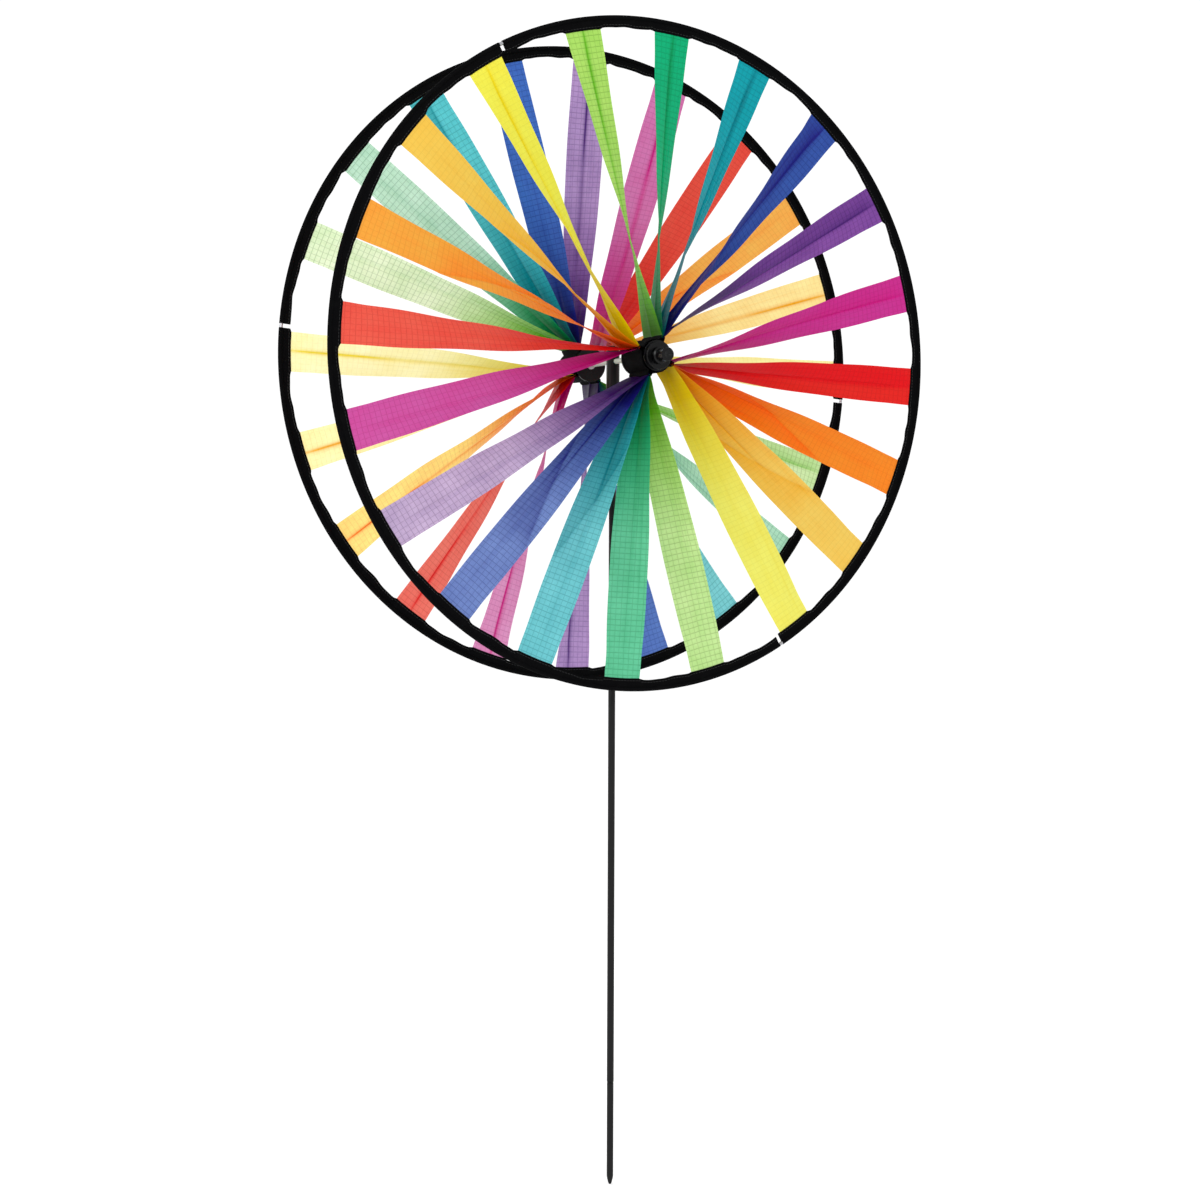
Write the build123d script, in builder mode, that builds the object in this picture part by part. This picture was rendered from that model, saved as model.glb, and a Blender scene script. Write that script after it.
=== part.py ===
from build123d import *
import math
import os

# A garden wind spinner with two fabric wheels on one axle, one wheel each side of a thin
# upright pole that is pushed into the ground. Units are millimetres and +Z is up. The axle
# lies along Y with the front wheel towards -Y, and the origin is the point of the spike.

# Overall
WHEEL_RADIUS = 315.0  # to the outside of the rim
AXLE_HEIGHT = 810.0  # above the point of the spike
WHEEL_OFFSET = 69.0  # middle plane of each wheel from the axis of the pole
WHEELS = (("front", -1), ("rear", 1))  # name, and which way along Y the wheel stands

# Blades: twenty ribbons a wheel, in two half wheels of ten
BLADE_COLOURS = ("yellow", "gold", "orange", "red", "magenta", "purple", "blue", "cyan", "green", "lime")
BLADE_WIDTH = 37.0
BLADE_THICKNESS = 0.5
BLADES_PER_TAB = 5
BLADE_LAYER = 0.75  # from one blade to the next where they are sewn into a tab
BLADE_TWIST = 90.0  # degrees, from flat at the rim to edge-on at the hub
BLADE_STATIONS = 9
BLADE_PITCH = 17.76  # degrees from one blade to the next within a half wheel
FIRST_GAP_ANGLE = {"front": 113.1, "rear": 169.4}  # degrees, middle of the gap before the first blade
HEM_JOINT_SHIFT = 5.7  # degrees, from the middle of that gap to the joint beside the first blade

# Rim: two half hoops of rod in a fabric hem, joined by two ferrules
ROD_RADIUS = 1.25
FERRULE_RADIUS = 1.75
FERRULE_LENGTH = 30.0
HEM_CHANNEL_RADIUS = 1.85
HEM_BEAD_RADIUS = 2.3
HEM_DEPTH = 12.5  # radial width of the whole hem
HEM_THICKNESS = 1.0
HEM_GAP = 3.8  # bare length at each ferrule
ROD_END_GAP = 0.4
SEWING_GAP = 0.05

# Axle
AXLE_RADIUS = 1.6
AXLE_HALF_LENGTH = 106.0
SPACER_RADIUS = 2.5
SPACER_BORE_RADIUS = 1.7
WASHER_RADIUS = 4.5
WASHER_THICKNESS = 0.8
END_CAP_RADIUS = 6.5
END_CAP_COLLAR_RADIUS = 8.0
END_CAP_COLLAR_LENGTH = 3.0
END_CAP_TIP = 110.0  # from the axis of the pole
END_CAP_DISH_RADIUS = 3.6
END_CAP_DISH_DEPTH = 1.5
END_PLAY = 0.1  # free play of a wheel along the axle, each end

# Hub
HUB_BORE_RADIUS = 1.66
HUB_START = 48.0  # pole-side face of the hub, from the axis of the pole
HUB_END = 93.0
FLANGE_RADIUS = 16.75
FLANGE_THICKNESS = 2.2
BARREL_RADIUS = 14.5
BARREL_WALL = 2.5
BARREL_END = 90.0
CAP_RADIUS = 13.0
CAP_SPIGOT_LENGTH = 6.0
CAP_SPIGOT_WALL = 2.0
BOSS_RADIUS = 5.0
BOSS_LENGTH = 10.0
BAND_INNER_RADIUS = 14.6
BAND_RADIUS = 16.0
TAB_END = 20.0  # from the axle to the outer edge of a tab
TAB_THICKNESS = 4.4
EDGE_ROUND = 0.8

# Pole, spike and head sleeve
POLE_RADIUS = 3.45
POLE_BORE_RADIUS = 2.0
SPIKE_RADIUS = 3.3
SPIKE_LENGTH = 102.0
SPIKE_TIP_LENGTH = 9.0
SPIKE_TIP_BLUNT = 0.9
SPIGOT_RADIUS = 1.95
SPIGOT_LENGTH = 40.0
JOINT_BEVEL = 0.6  # where the tube meets the spike
POLE_TOP_BELOW_AXLE = 9.0
SLEEVE_RADIUS = 6.4
SLEEVE_BORE_RADIUS = 3.5
SLEEVE_ABOVE_AXLE = 15.0
SLEEVE_BELOW_AXLE = 45.0
SLEEVE_SEAT_PLAY = 0.1
SLEEVE_ROUND = 1.2

# Worked out from the above
ROD_RING_RADIUS = WHEEL_RADIUS - HEM_BEAD_RADIUS
HEM_INNER_RADIUS = WHEEL_RADIUS - HEM_DEPTH
BLADE_INNER_END = TAB_END + SEWING_GAP
BLADE_OUTER_END = math.sqrt(HEM_INNER_RADIUS**2 - (BLADE_WIDTH / 2) ** 2) - SEWING_GAP
GAP_TO_BLADE = (180.0 - BLADE_PITCH * (len(BLADE_COLOURS) - 1)) / 2
TABS_PER_HALF = len(BLADE_COLOURS) // BLADES_PER_TAB
AXLE_LINE = Axis((0, 0, AXLE_HEIGHT), (0, 1, 0))
POLE_TOP = AXLE_HEIGHT - POLE_TOP_BELOW_AXLE


def arc_degrees(length):
    """Angle that a length takes up along the ring of the rim's rod."""
    return math.degrees(length / ROD_RING_RADIUS)


def radial_direction(angle):
    """Outward direction in a wheel's plane, the angle counted from +X up towards +Z."""
    return Vector(math.cos(math.radians(angle)), 0, math.sin(math.radians(angle)))


def clockwise_direction(angle):
    """Direction along the rim, clockwise as seen from the front."""
    return Vector(math.sin(math.radians(angle)), 0, -math.cos(math.radians(angle)))


def wheel_centre(side):
    return Vector(0, side * WHEEL_OFFSET, AXLE_HEIGHT)


def rim_section_plane(side, angle):
    """Plane across the rim: its x runs outwards from the middle of the wheel."""
    return Plane(
        origin=wheel_centre(side),
        x_dir=radial_direction(angle),
        z_dir=clockwise_direction(angle) * -1,
    )


def axle_plane():
    """Plane through the axle: its x is the distance from the axle, and its y runs along it."""
    return Plane.XY.offset(AXLE_HEIGHT)


def plane_across_axle(side, distance):
    """Plane square to the axle, facing away from the pole, at a distance from the pole's axis."""
    return Plane(origin=(0, side * distance, AXLE_HEIGHT), x_dir=(1, 0, 0), z_dir=(0, side, 0))


def save(name, builder):
    builder.part.label = name
    export_step(builder.part, f"parts/{name}.step")


def half_wheel_starts(wheel):
    """Angles at which the wheel's two sets of ten blades begin."""
    return (FIRST_GAP_ANGLE[wheel], FIRST_GAP_ANGLE[wheel] + 180.0)


def joint_angles(wheel):
    """Angles at which the wheel's two half hoops meet."""
    return [start + HEM_JOINT_SHIFT for start in half_wheel_starts(wheel)]


def tab_angle(start, tab):
    """Angle of one of the tabs that the blades of a half wheel are sewn into."""
    return start + 180.0 / TABS_PER_HALF * (tab + 0.5)


# ---------------------------------------------------------------- stand
def make_ground_spike():
    """Bullet-pointed lower length of the pole, with a spigot that plugs into the tube."""
    with BuildPart() as spike:
        with BuildSketch(Plane.XZ):
            with BuildLine():
                Line((0, 0), (SPIKE_TIP_BLUNT, 0))
                Spline(
                    (SPIKE_TIP_BLUNT, 0),
                    (SPIKE_RADIUS * 0.72, SPIKE_TIP_LENGTH * 0.42),
                    (SPIKE_RADIUS, SPIKE_TIP_LENGTH),
                    tangents=[(1, 1), (0, 1)],
                )
                Polyline(
                    (SPIKE_RADIUS, SPIKE_TIP_LENGTH),
                    (SPIKE_RADIUS, SPIKE_LENGTH - JOINT_BEVEL),
                    (SPIKE_RADIUS - JOINT_BEVEL, SPIKE_LENGTH),
                    (SPIGOT_RADIUS, SPIKE_LENGTH),
                    (SPIGOT_RADIUS, SPIKE_LENGTH + SPIGOT_LENGTH),
                    (0, SPIKE_LENGTH + SPIGOT_LENGTH),
                    (0, 0),
                )
            make_face()
        revolve(axis=Axis.Z)
    save("ground_spike", spike)


def make_pole_tube():
    with BuildPart() as tube:
        with BuildSketch(Plane.XY.offset(SPIKE_LENGTH)):
            Circle(POLE_RADIUS)
        extrude(amount=POLE_TOP - SPIKE_LENGTH)
        chamfer(tube.edges().group_by(Axis.Z)[0], JOINT_BEVEL)
        with BuildSketch(Plane.XY.offset(SPIKE_LENGTH)):
            Circle(POLE_BORE_RADIUS)
        extrude(amount=POLE_TOP - SPIKE_LENGTH, mode=Mode.SUBTRACT)
    save("pole_tube", tube)


# ---------------------------------------------------------------- head
def make_head_sleeve():
    """Socket that drops over the top of the pole and carries the axle through a cross hole."""
    with BuildPart() as sleeve:
        with BuildSketch(Plane.XY.offset(AXLE_HEIGHT - SLEEVE_BELOW_AXLE)):
            Circle(SLEEVE_RADIUS)
        extrude(amount=SLEEVE_ABOVE_AXLE + SLEEVE_BELOW_AXLE)
        fillet(sleeve.edges().group_by(Axis.Z)[-1], SLEEVE_ROUND)
        chamfer(sleeve.edges().group_by(Axis.Z)[0], SLEEVE_ROUND / 2)
        with BuildSketch(Plane.XY.offset(AXLE_HEIGHT - SLEEVE_BELOW_AXLE)):
            Circle(SLEEVE_BORE_RADIUS)
        extrude(amount=POLE_TOP + SLEEVE_SEAT_PLAY - AXLE_HEIGHT + SLEEVE_BELOW_AXLE, mode=Mode.SUBTRACT)
        with BuildSketch(Plane.XZ):
            with Locations((0, AXLE_HEIGHT)):
                Circle(AXLE_RADIUS)
        extrude(amount=SLEEVE_RADIUS, both=True, mode=Mode.SUBTRACT)
    save("head_sleeve", sleeve)


def make_axle_rod():
    with BuildPart() as rod:
        with BuildSketch(Plane.XZ):
            with Locations((0, AXLE_HEIGHT)):
                Circle(AXLE_RADIUS)
        extrude(amount=AXLE_HALF_LENGTH, both=True)
        chamfer(rod.edges().filter_by(GeomType.CIRCLE), AXLE_RADIUS / 5)
    save("axle_rod", rod)


def make_axle_spacers():
    """Two tubes that keep the wheels away from the head sleeve."""
    start = SLEEVE_RADIUS + SEWING_GAP
    end = HUB_START - END_PLAY - WASHER_THICKNESS
    with BuildPart() as spacers:
        for _, side in WHEELS:
            with BuildSketch(plane_across_axle(side, start)):
                Circle(SPACER_RADIUS)
                Circle(SPACER_BORE_RADIUS, mode=Mode.SUBTRACT)
            extrude(amount=end - start)
    save("axle_spacers", spacers)


def make_axle_washers():
    """A washer at each end of each hub."""
    with BuildPart() as washers:
        for _, side in WHEELS:
            for start in (HUB_START - END_PLAY - WASHER_THICKNESS, HUB_END + END_PLAY):
                with BuildSketch(plane_across_axle(side, start)):
                    Circle(WASHER_RADIUS)
                    Circle(SPACER_BORE_RADIUS, mode=Mode.SUBTRACT)
                extrude(amount=WASHER_THICKNESS)
    save("axle_washers", washers)


def make_axle_end_caps():
    """Two push-on caps with a collar and a dished tip, which keep the wheels on."""
    seat = HUB_END + END_PLAY + WASHER_THICKNESS
    with BuildPart() as caps:
        for _, side in WHEELS:
            with BuildSketch(axle_plane()):
                with BuildLine():
                    Polyline(
                        (AXLE_RADIUS, side * seat),
                        (END_CAP_COLLAR_RADIUS, side * seat),
                        (END_CAP_COLLAR_RADIUS, side * (seat + END_CAP_COLLAR_LENGTH)),
                        (END_CAP_RADIUS, side * (seat + END_CAP_COLLAR_LENGTH + EDGE_ROUND)),
                        (END_CAP_RADIUS, side * (END_CAP_TIP - EDGE_ROUND)),
                        (END_CAP_RADIUS - EDGE_ROUND, side * END_CAP_TIP),
                        (END_CAP_DISH_RADIUS, side * END_CAP_TIP),
                        (0, side * (END_CAP_TIP - END_CAP_DISH_DEPTH)),
                        (0, side * AXLE_HALF_LENGTH),
                        (AXLE_RADIUS, side * AXLE_HALF_LENGTH),
                        close=True,
                    )
                make_face()
            revolve(axis=AXLE_LINE)
    save("axle_end_caps", caps)


# ---------------------------------------------------------------- wheels
def make_hub_spool(wheel, side):
    """Moulded barrel with the pole-side flange and a bearing boss inside it."""
    with BuildPart() as spool:
        with BuildSketch(axle_plane()):
            with BuildLine():
                Polyline(
                    (HUB_BORE_RADIUS, side * HUB_START),
                    (FLANGE_RADIUS, side * HUB_START),
                    (FLANGE_RADIUS, side * (HUB_START + FLANGE_THICKNESS)),
                    (BARREL_RADIUS, side * (HUB_START + FLANGE_THICKNESS)),
                    (BARREL_RADIUS, side * BARREL_END),
                    (BARREL_RADIUS - BARREL_WALL, side * BARREL_END),
                    (BARREL_RADIUS - BARREL_WALL, side * (HUB_START + FLANGE_THICKNESS)),
                    (BOSS_RADIUS, side * (HUB_START + FLANGE_THICKNESS)),
                    (BOSS_RADIUS, side * (HUB_START + BOSS_LENGTH)),
                    (HUB_BORE_RADIUS, side * (HUB_START + BOSS_LENGTH)),
                    close=True,
                )
            make_face()
        revolve(axis=AXLE_LINE)
        rims = spool.edges().filter_by(GeomType.CIRCLE)
        fillet(rims.filter_by(lambda edge: abs(edge.radius - FLANGE_RADIUS) < EDGE_ROUND / 10), EDGE_ROUND)
    save(f"{wheel}_hub_spool", spool)


def make_hub_cap(wheel, side):
    """Outer end of the hub, plugged into the barrel, with the second bearing boss."""
    spigot_radius = BARREL_RADIUS - BARREL_WALL
    with BuildPart() as cap:
        with BuildSketch(axle_plane()):
            with BuildLine():
                Polyline(
                    (HUB_BORE_RADIUS, side * HUB_END),
                    (CAP_RADIUS, side * HUB_END),
                    (CAP_RADIUS, side * BARREL_END),
                    (spigot_radius, side * BARREL_END),
                    (spigot_radius, side * (BARREL_END - CAP_SPIGOT_LENGTH)),
                    (spigot_radius - CAP_SPIGOT_WALL, side * (BARREL_END - CAP_SPIGOT_LENGTH)),
                    (spigot_radius - CAP_SPIGOT_WALL, side * BARREL_END),
                    (BOSS_RADIUS, side * BARREL_END),
                    (BOSS_RADIUS, side * (HUB_END - BOSS_LENGTH)),
                    (HUB_BORE_RADIUS, side * (HUB_END - BOSS_LENGTH)),
                    close=True,
                )
            make_face()
        revolve(axis=AXLE_LINE)
        rims = cap.edges().filter_by(GeomType.CIRCLE)
        outer_rims = rims.filter_by(lambda edge: abs(edge.radius - CAP_RADIUS) < EDGE_ROUND / 10)
        fillet(outer_rims.sort_by(lambda edge: side * edge.center().Y)[-1], EDGE_ROUND)
    save(f"{wheel}_hub_cap", cap)


def make_hub_band(wheel, side):
    """Fabric sleeve round the barrel, with four tabs. Five blades are sewn into each tab."""
    with BuildPart() as band:
        with BuildSketch(plane_across_axle(side, WHEEL_OFFSET - BLADE_WIDTH / 2)):
            Circle(BAND_RADIUS)
            Circle(BAND_INNER_RADIUS, mode=Mode.SUBTRACT)
        extrude(amount=BLADE_WIDTH)
        for start in half_wheel_starts(wheel):
            for tab in range(TABS_PER_HALF):
                tab_root = (BAND_INNER_RADIUS + BAND_RADIUS) / 2
                with BuildSketch(tab_plane(side, tab_angle(start, tab), tab_root)):
                    Rectangle(TAB_THICKNESS, BLADE_WIDTH)
                extrude(amount=TAB_END - tab_root)
    save(f"{wheel}_hub_band", band)


def make_rim_rods(wheel, side):
    """Two half hoops of springy rod, butted inside the ferrules."""
    end_angle = arc_degrees(ROD_END_GAP / 2)
    with BuildPart() as rods:
        for joint in joint_angles(wheel):
            with BuildSketch(rim_section_plane(side, joint + end_angle)):
                with Locations((ROD_RING_RADIUS, 0)):
                    Circle(ROD_RADIUS)
            revolve(axis=rim_axis(side), revolution_arc=180.0 - 2 * end_angle)
    save(f"{wheel}_rim_rods", rods)


def make_rim_ferrules(wheel, side):
    """Two metal tubes that join the half hoops."""
    half_angle = arc_degrees(FERRULE_LENGTH / 2)
    with BuildPart() as ferrules:
        for joint in joint_angles(wheel):
            with BuildSketch(rim_section_plane(side, joint - half_angle)):
                with Locations((ROD_RING_RADIUS, 0)):
                    Circle(FERRULE_RADIUS)
                    Circle(ROD_RADIUS, mode=Mode.SUBTRACT)
            revolve(axis=rim_axis(side), revolution_arc=2 * half_angle)
    save(f"{wheel}_rim_ferrules", ferrules)


def make_rim_hem(wheel, side):
    """Two half bands of folded tape: a channel for the rod, and a flat web towards the hub."""
    end_angle = arc_degrees(HEM_GAP / 2)
    web_width = ROD_RING_RADIUS - HEM_INNER_RADIUS
    with BuildPart() as hem:
        for joint in joint_angles(wheel):
            with BuildSketch(rim_section_plane(side, joint + end_angle)):
                with Locations((HEM_INNER_RADIUS + web_width / 2, 0)):
                    Rectangle(web_width, HEM_THICKNESS)
                with Locations((ROD_RING_RADIUS, 0)):
                    Circle(HEM_BEAD_RADIUS)
                    Circle(HEM_CHANNEL_RADIUS, mode=Mode.SUBTRACT)
            revolve(axis=rim_axis(side), revolution_arc=180.0 - 2 * end_angle)
    save(f"{wheel}_rim_hem", hem)


def rim_axis(side):
    """Axis that turns a section along the rim towards larger angles."""
    return Axis(wheel_centre(side), (0, -1, 0))


def tab_plane(side, angle, radius):
    """Plane square to a tab, at a distance from the axle, with its x clockwise round the wheel."""
    return Plane(
        origin=wheel_centre(side) + radial_direction(angle) * radius,
        x_dir=clockwise_direction(angle),
        z_dir=radial_direction(angle),
    )


def blade_plane(side, inner, outer, facing, along):
    """Plane across a blade. along runs from 0 at the tab to 1 at the rim."""
    turn = math.radians(BLADE_TWIST * (1 - along))
    across = clockwise_direction(facing) * math.cos(turn) + Vector(0, -side, 0) * math.sin(turn)
    return Plane(
        origin=wheel_centre(side) + inner + (outer - inner) * along,
        x_dir=across,
        z_dir=radial_direction(facing),
    )


def make_blade(wheel, side, name, angle, root_angle, layer):
    """A fabric ribbon twisted a quarter turn. The two wheels twist opposite ways."""
    inner = radial_direction(root_angle) * BLADE_INNER_END + clockwise_direction(root_angle) * layer
    outer = radial_direction(angle) * BLADE_OUTER_END
    heading = math.degrees(math.atan2(outer.Z - inner.Z, outer.X - inner.X))
    facings = [root_angle] + [heading] * (BLADE_STATIONS - 2) + [angle]
    with BuildPart() as blade:
        for station, facing in enumerate(facings):
            with BuildSketch(blade_plane(side, inner, outer, facing, station / (BLADE_STATIONS - 1))):
                Rectangle(BLADE_WIDTH, BLADE_THICKNESS)
        loft()
    save(f"{wheel}_blade_{name}", blade)


def make_blades(wheel, side):
    number = 0
    for start in half_wheel_starts(wheel):
        for place, colour in enumerate(BLADE_COLOURS):
            number += 1
            angle = start + GAP_TO_BLADE + BLADE_PITCH * place
            root_angle = tab_angle(start, place // BLADES_PER_TAB)
            layer = BLADE_LAYER * ((BLADES_PER_TAB - 1) / 2 - place % BLADES_PER_TAB)
            make_blade(wheel, side, f"{number:02d}_{colour}", angle, root_angle, layer)


os.makedirs("parts", exist_ok=True)
make_ground_spike()
make_pole_tube()
make_head_sleeve()
make_axle_rod()
make_axle_spacers()
make_axle_washers()
make_axle_end_caps()
for wheel_name, wheel_side in WHEELS:
    make_hub_spool(wheel_name, wheel_side)
    make_hub_cap(wheel_name, wheel_side)
    make_hub_band(wheel_name, wheel_side)
    make_rim_rods(wheel_name, wheel_side)
    make_rim_ferrules(wheel_name, wheel_side)
    make_rim_hem(wheel_name, wheel_side)
    make_blades(wheel_name, wheel_side)
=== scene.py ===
import math
import random

import bpy
from mathutils import Matrix, Vector


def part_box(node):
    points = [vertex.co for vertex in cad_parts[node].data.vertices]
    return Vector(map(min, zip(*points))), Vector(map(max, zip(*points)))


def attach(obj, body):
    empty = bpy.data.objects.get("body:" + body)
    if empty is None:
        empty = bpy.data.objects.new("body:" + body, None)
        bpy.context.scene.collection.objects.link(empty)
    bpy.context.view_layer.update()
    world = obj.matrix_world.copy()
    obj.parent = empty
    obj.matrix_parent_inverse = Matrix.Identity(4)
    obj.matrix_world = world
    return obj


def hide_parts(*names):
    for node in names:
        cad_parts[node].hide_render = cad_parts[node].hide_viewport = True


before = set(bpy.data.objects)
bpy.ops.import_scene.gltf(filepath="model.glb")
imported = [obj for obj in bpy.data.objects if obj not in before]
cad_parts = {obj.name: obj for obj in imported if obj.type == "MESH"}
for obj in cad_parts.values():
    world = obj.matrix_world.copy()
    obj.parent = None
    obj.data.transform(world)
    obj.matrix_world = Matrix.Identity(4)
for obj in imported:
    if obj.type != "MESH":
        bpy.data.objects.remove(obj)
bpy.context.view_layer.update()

# A wind spinner with two fabric wheels on one axle, in metres. The CAD says where everything is:
# the wheels' centres, the blades' angles and the rim's size are all read from its nodes.

WHEELS = {"front": -1, "rear": 1}  # which way along Y each wheel stands from the pole
BLADES_PER_TAB = 5
MM = 0.001


# ------------------------------------------------------------------ the frame's places
def middle_of(node):
    low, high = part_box(node)
    return (low + high) / 2


AXLE_Z = middle_of("axle_rod").z
RIM_RADIUS = (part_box("front_rim_hem")[1].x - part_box("front_rim_hem")[0].x) / 2
BLADE_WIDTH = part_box("front_hub_band")[1].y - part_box("front_hub_band")[0].y  # the band is as long
WHEEL_OFFSET = abs(middle_of("front_rim_hem").y)


def wheel_centre(wheel):
    return Vector((0, WHEELS[wheel] * WHEEL_OFFSET, AXLE_Z))


def blade_nodes(wheel):
    return sorted(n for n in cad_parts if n.startswith(f"{wheel}_blade_"))


TAB_END_DEPTH = 0.15 * MM  # how near a blade's very end a CAD vertex counts as part of that end
RIM_END_DEPTH = 1 * MM


def blade_ends(node, wheel):
    """A blade's two ends in its wheel's plane, as the CAD has them: the tab end and the rim end."""
    centre = wheel_centre(wheel)
    spots = [v.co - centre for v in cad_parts[node].data.vertices]
    nearest = min(math.hypot(s.x, s.z) for s in spots)
    furthest = max(math.hypot(s.x, s.z) for s in spots)
    tab_end = [s for s in spots if math.hypot(s.x, s.z) < nearest + TAB_END_DEPTH]
    rim_end = [s for s in spots if math.hypot(s.x, s.z) > furthest - RIM_END_DEPTH]
    root = sum(tab_end, Vector()) / len(tab_end)
    rim = sum(rim_end, Vector()) / len(rim_end)
    return Vector((root.x, 0, root.z)), Vector((rim.x, 0, rim.z))


def blade_angle(node, wheel):
    """Angle of a blade's rim end in the wheel's plane, from +X up towards +Z."""
    rim = blade_ends(node, wheel)[1]
    return math.atan2(rim.z, rim.x)


def tab_angles(wheel):
    """Angles of the hub's tabs. The blades in one tab have their roots side by side."""
    roots = [blade_ends(node, wheel)[0] for node in blade_nodes(wheel)]
    angles = []
    for first in range(0, len(roots), BLADES_PER_TAB):
        middle = sum(roots[first : first + BLADES_PER_TAB], Vector())
        angles.append(math.atan2(middle.z, middle.x))
    return angles


def angle_between(a, b):
    """The smaller angle between two directions, whichever way round it is."""
    return abs((a - b + math.pi) % (2 * math.pi) - math.pi)


def root_tab(root, wheel):
    """Angle of the tab that a blade's root is sewn into."""
    here = math.atan2(root.z, root.x)
    return min(tab_angles(wheel), key=lambda tab: angle_between(here, tab))


def outwards(angle):
    return Vector((math.cos(angle), 0, math.sin(angle)))


def clockwise(angle):
    return Vector((math.sin(angle), 0, -math.cos(angle)))


# ------------------------------------------------------------------ mesh helpers
def grid_mesh(name, points, columns, uv, closed=False):
    """Mesh of a net of points, listed row by row. uv(i, j) is a point's place on the cloth in metres.

    In a closed net the last column is joined to the first.
    """
    faces = []
    corners = []
    for i in range(len(points) // columns - 1):
        for j in range(columns if closed else columns - 1):
            here, above = i * columns, (i + 1) * columns
            j2 = (j + 1) % columns
            faces.append((here + j, here + j2, above + j2, above + j))
            corners.append((uv(i, j), uv(i, j + 1), uv(i + 1, j + 1), uv(i + 1, j)))
    mesh = bpy.data.meshes.new(name)
    mesh.from_pydata(points, [], faces)
    layer = mesh.uv_layers.new(name="cloth")
    spots = [corner for face in corners for corner in face]
    layer.data.foreach_set("uv", [value for spot in spots for value in spot])
    mesh.shade_smooth()
    mesh.update()
    return mesh


def add_object(name, mesh, material):
    obj = bpy.data.objects.new(name, mesh)
    bpy.context.scene.collection.objects.link(obj)
    obj.data.materials.append(material)
    return obj


def smooth_step(low, high, value):
    t = min(1.0, max(0.0, (value - low) / (high - low)))
    return t * t * (3 - 2 * t)


# ------------------------------------------------------------------ material helpers
class Nodes:
    """A material's node tree, with short ways to add and join nodes."""

    def __init__(self, name):
        self.material = bpy.data.materials.new(name)
        self.material.use_nodes = True
        self.tree = self.material.node_tree
        self.tree.nodes.clear()
        self.out = self.add("ShaderNodeOutputMaterial")

    def add(self, kind, **settings):
        node = self.tree.nodes.new(kind)
        for key, value in settings.items():
            setattr(node, key, value)
        return node

    def set(self, node, socket, value):
        if isinstance(value, bpy.types.NodeSocket):
            self.tree.links.new(value, node.inputs[socket])
        else:
            node.inputs[socket].default_value = value

    def math(self, operation, a, b=None):
        node = self.add("ShaderNodeMath", operation=operation)
        self.set(node, 0, a)
        if b is not None:
            self.set(node, 1, b)
        return node.outputs[0]

    def noise(self, vector, scale, detail, roughness):
        node = self.add("ShaderNodeTexNoise")
        self.set(node, "Vector", vector)
        self.set(node, "Scale", scale)
        self.set(node, "Detail", detail)
        self.set(node, "Roughness", roughness)
        return node.outputs["Fac"]

    def spread(self, value, low, high, to_low, to_high):
        """Value from the range low to high, carried over to the range to_low to to_high."""
        node = self.add("ShaderNodeMapRange", clamp=True)
        for socket, number in ((0, value), (1, low), (2, high), (3, to_low), (4, to_high)):
            self.set(node, socket, number)
        return node.outputs[0]

    def mix(self, factor, a, b):
        """Colour a, turning to colour b as the factor goes from 0 to 1."""
        node = self.add("ShaderNodeMix", data_type="RGBA")
        self.set(node, 0, factor)
        self.set(node, 6, a)
        self.set(node, 7, b)
        return node.outputs[2]

    def bump(self, height, distance, strength):
        node = self.add("ShaderNodeBump")
        self.set(node, "Height", height)
        self.set(node, "Distance", distance)
        self.set(node, "Strength", strength)
        return node.outputs[0]

    def finish(self, shader):
        self.tree.links.new(shader, self.out.inputs["Surface"])
        return self.material


def linear(red, green, blue):
    """A colour from its 0 to 255 display values."""

    def channel(value):
        share = value / 255
        return share / 12.92 if share <= 0.04045 else ((share + 0.055) / 1.055) ** 2.4

    return (channel(red), channel(green), channel(blue), 1.0)


def lines_along(n, place, pitch, width):
    """1 on evenly spaced soft-edged lines, and 0 between them."""
    share = n.math("FRACT", n.math("DIVIDE", place, pitch))
    off_line = n.math("ABSOLUTE", n.math("SUBTRACT", share, 0.5))
    return n.spread(off_line, 0.5 - width / pitch, 0.5 - 0.35 * width / pitch, 0.0, 1.0)


def ripple_along(n, place, pitch):
    """A wave from -1 to 1 that repeats at each pitch."""
    return n.math("SINE", n.math("MULTIPLY", place, 2 * math.pi / pitch))


# ------------------------------------------------------------------ materials
GRID_PITCH = 5.2 * MM  # ripstop squares
BAR_WIDTH = 0.55 * MM  # the net's thicker threads: across the ribbon, and along it
POST_WIDTH = 0.45 * MM
THREAD_PITCH = GRID_PITCH / 4  # a fainter net between the bars
THREAD_WIDTH = 0.4 * MM
YARN_PITCH = 0.42 * MM
WANDER = 0.9 * MM  # how far the threads stray from straight lines
LIGHT_THROUGH = 0.45  # share of the light that goes through the cloth
RIPSTOP = {  # display colours: open cloth, deeper cloth (for random clouding, and for painted shade in folds and near the hub), pale painted sheen; and how strongly the net shows
    "yellow": ((226, 223, 78), (222, 198, 0), (254, 250, 238), 0.09),
    "gold": ((226, 187, 76), (228, 156, 4), (255, 249, 185), 0.11),
    "orange": ((224, 152, 48), (238, 98, 4), (255, 249, 150), 0.16),
    "red": ((216, 62, 42), (214, 14, 22), (255, 214, 196), 0.24),
    "magenta": ((186, 60, 148), (192, 0, 118), (250, 222, 240), 0.26),
    "purple": ((148, 90, 178), (64, 20, 106), (250, 250, 246), 0.34),
    "blue": ((62, 106, 186), (26, 26, 120), (250, 250, 246), 0.36),
    "cyan": ((20, 186, 196), (0, 126, 138), (250, 250, 246), 0.36),
    "green": ((14, 186, 130), (0, 140, 82), (250, 250, 246), 0.34),
    "lime": ((176, 219, 106), (92, 174, 24), (250, 250, 246), 0.36),
}


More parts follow.
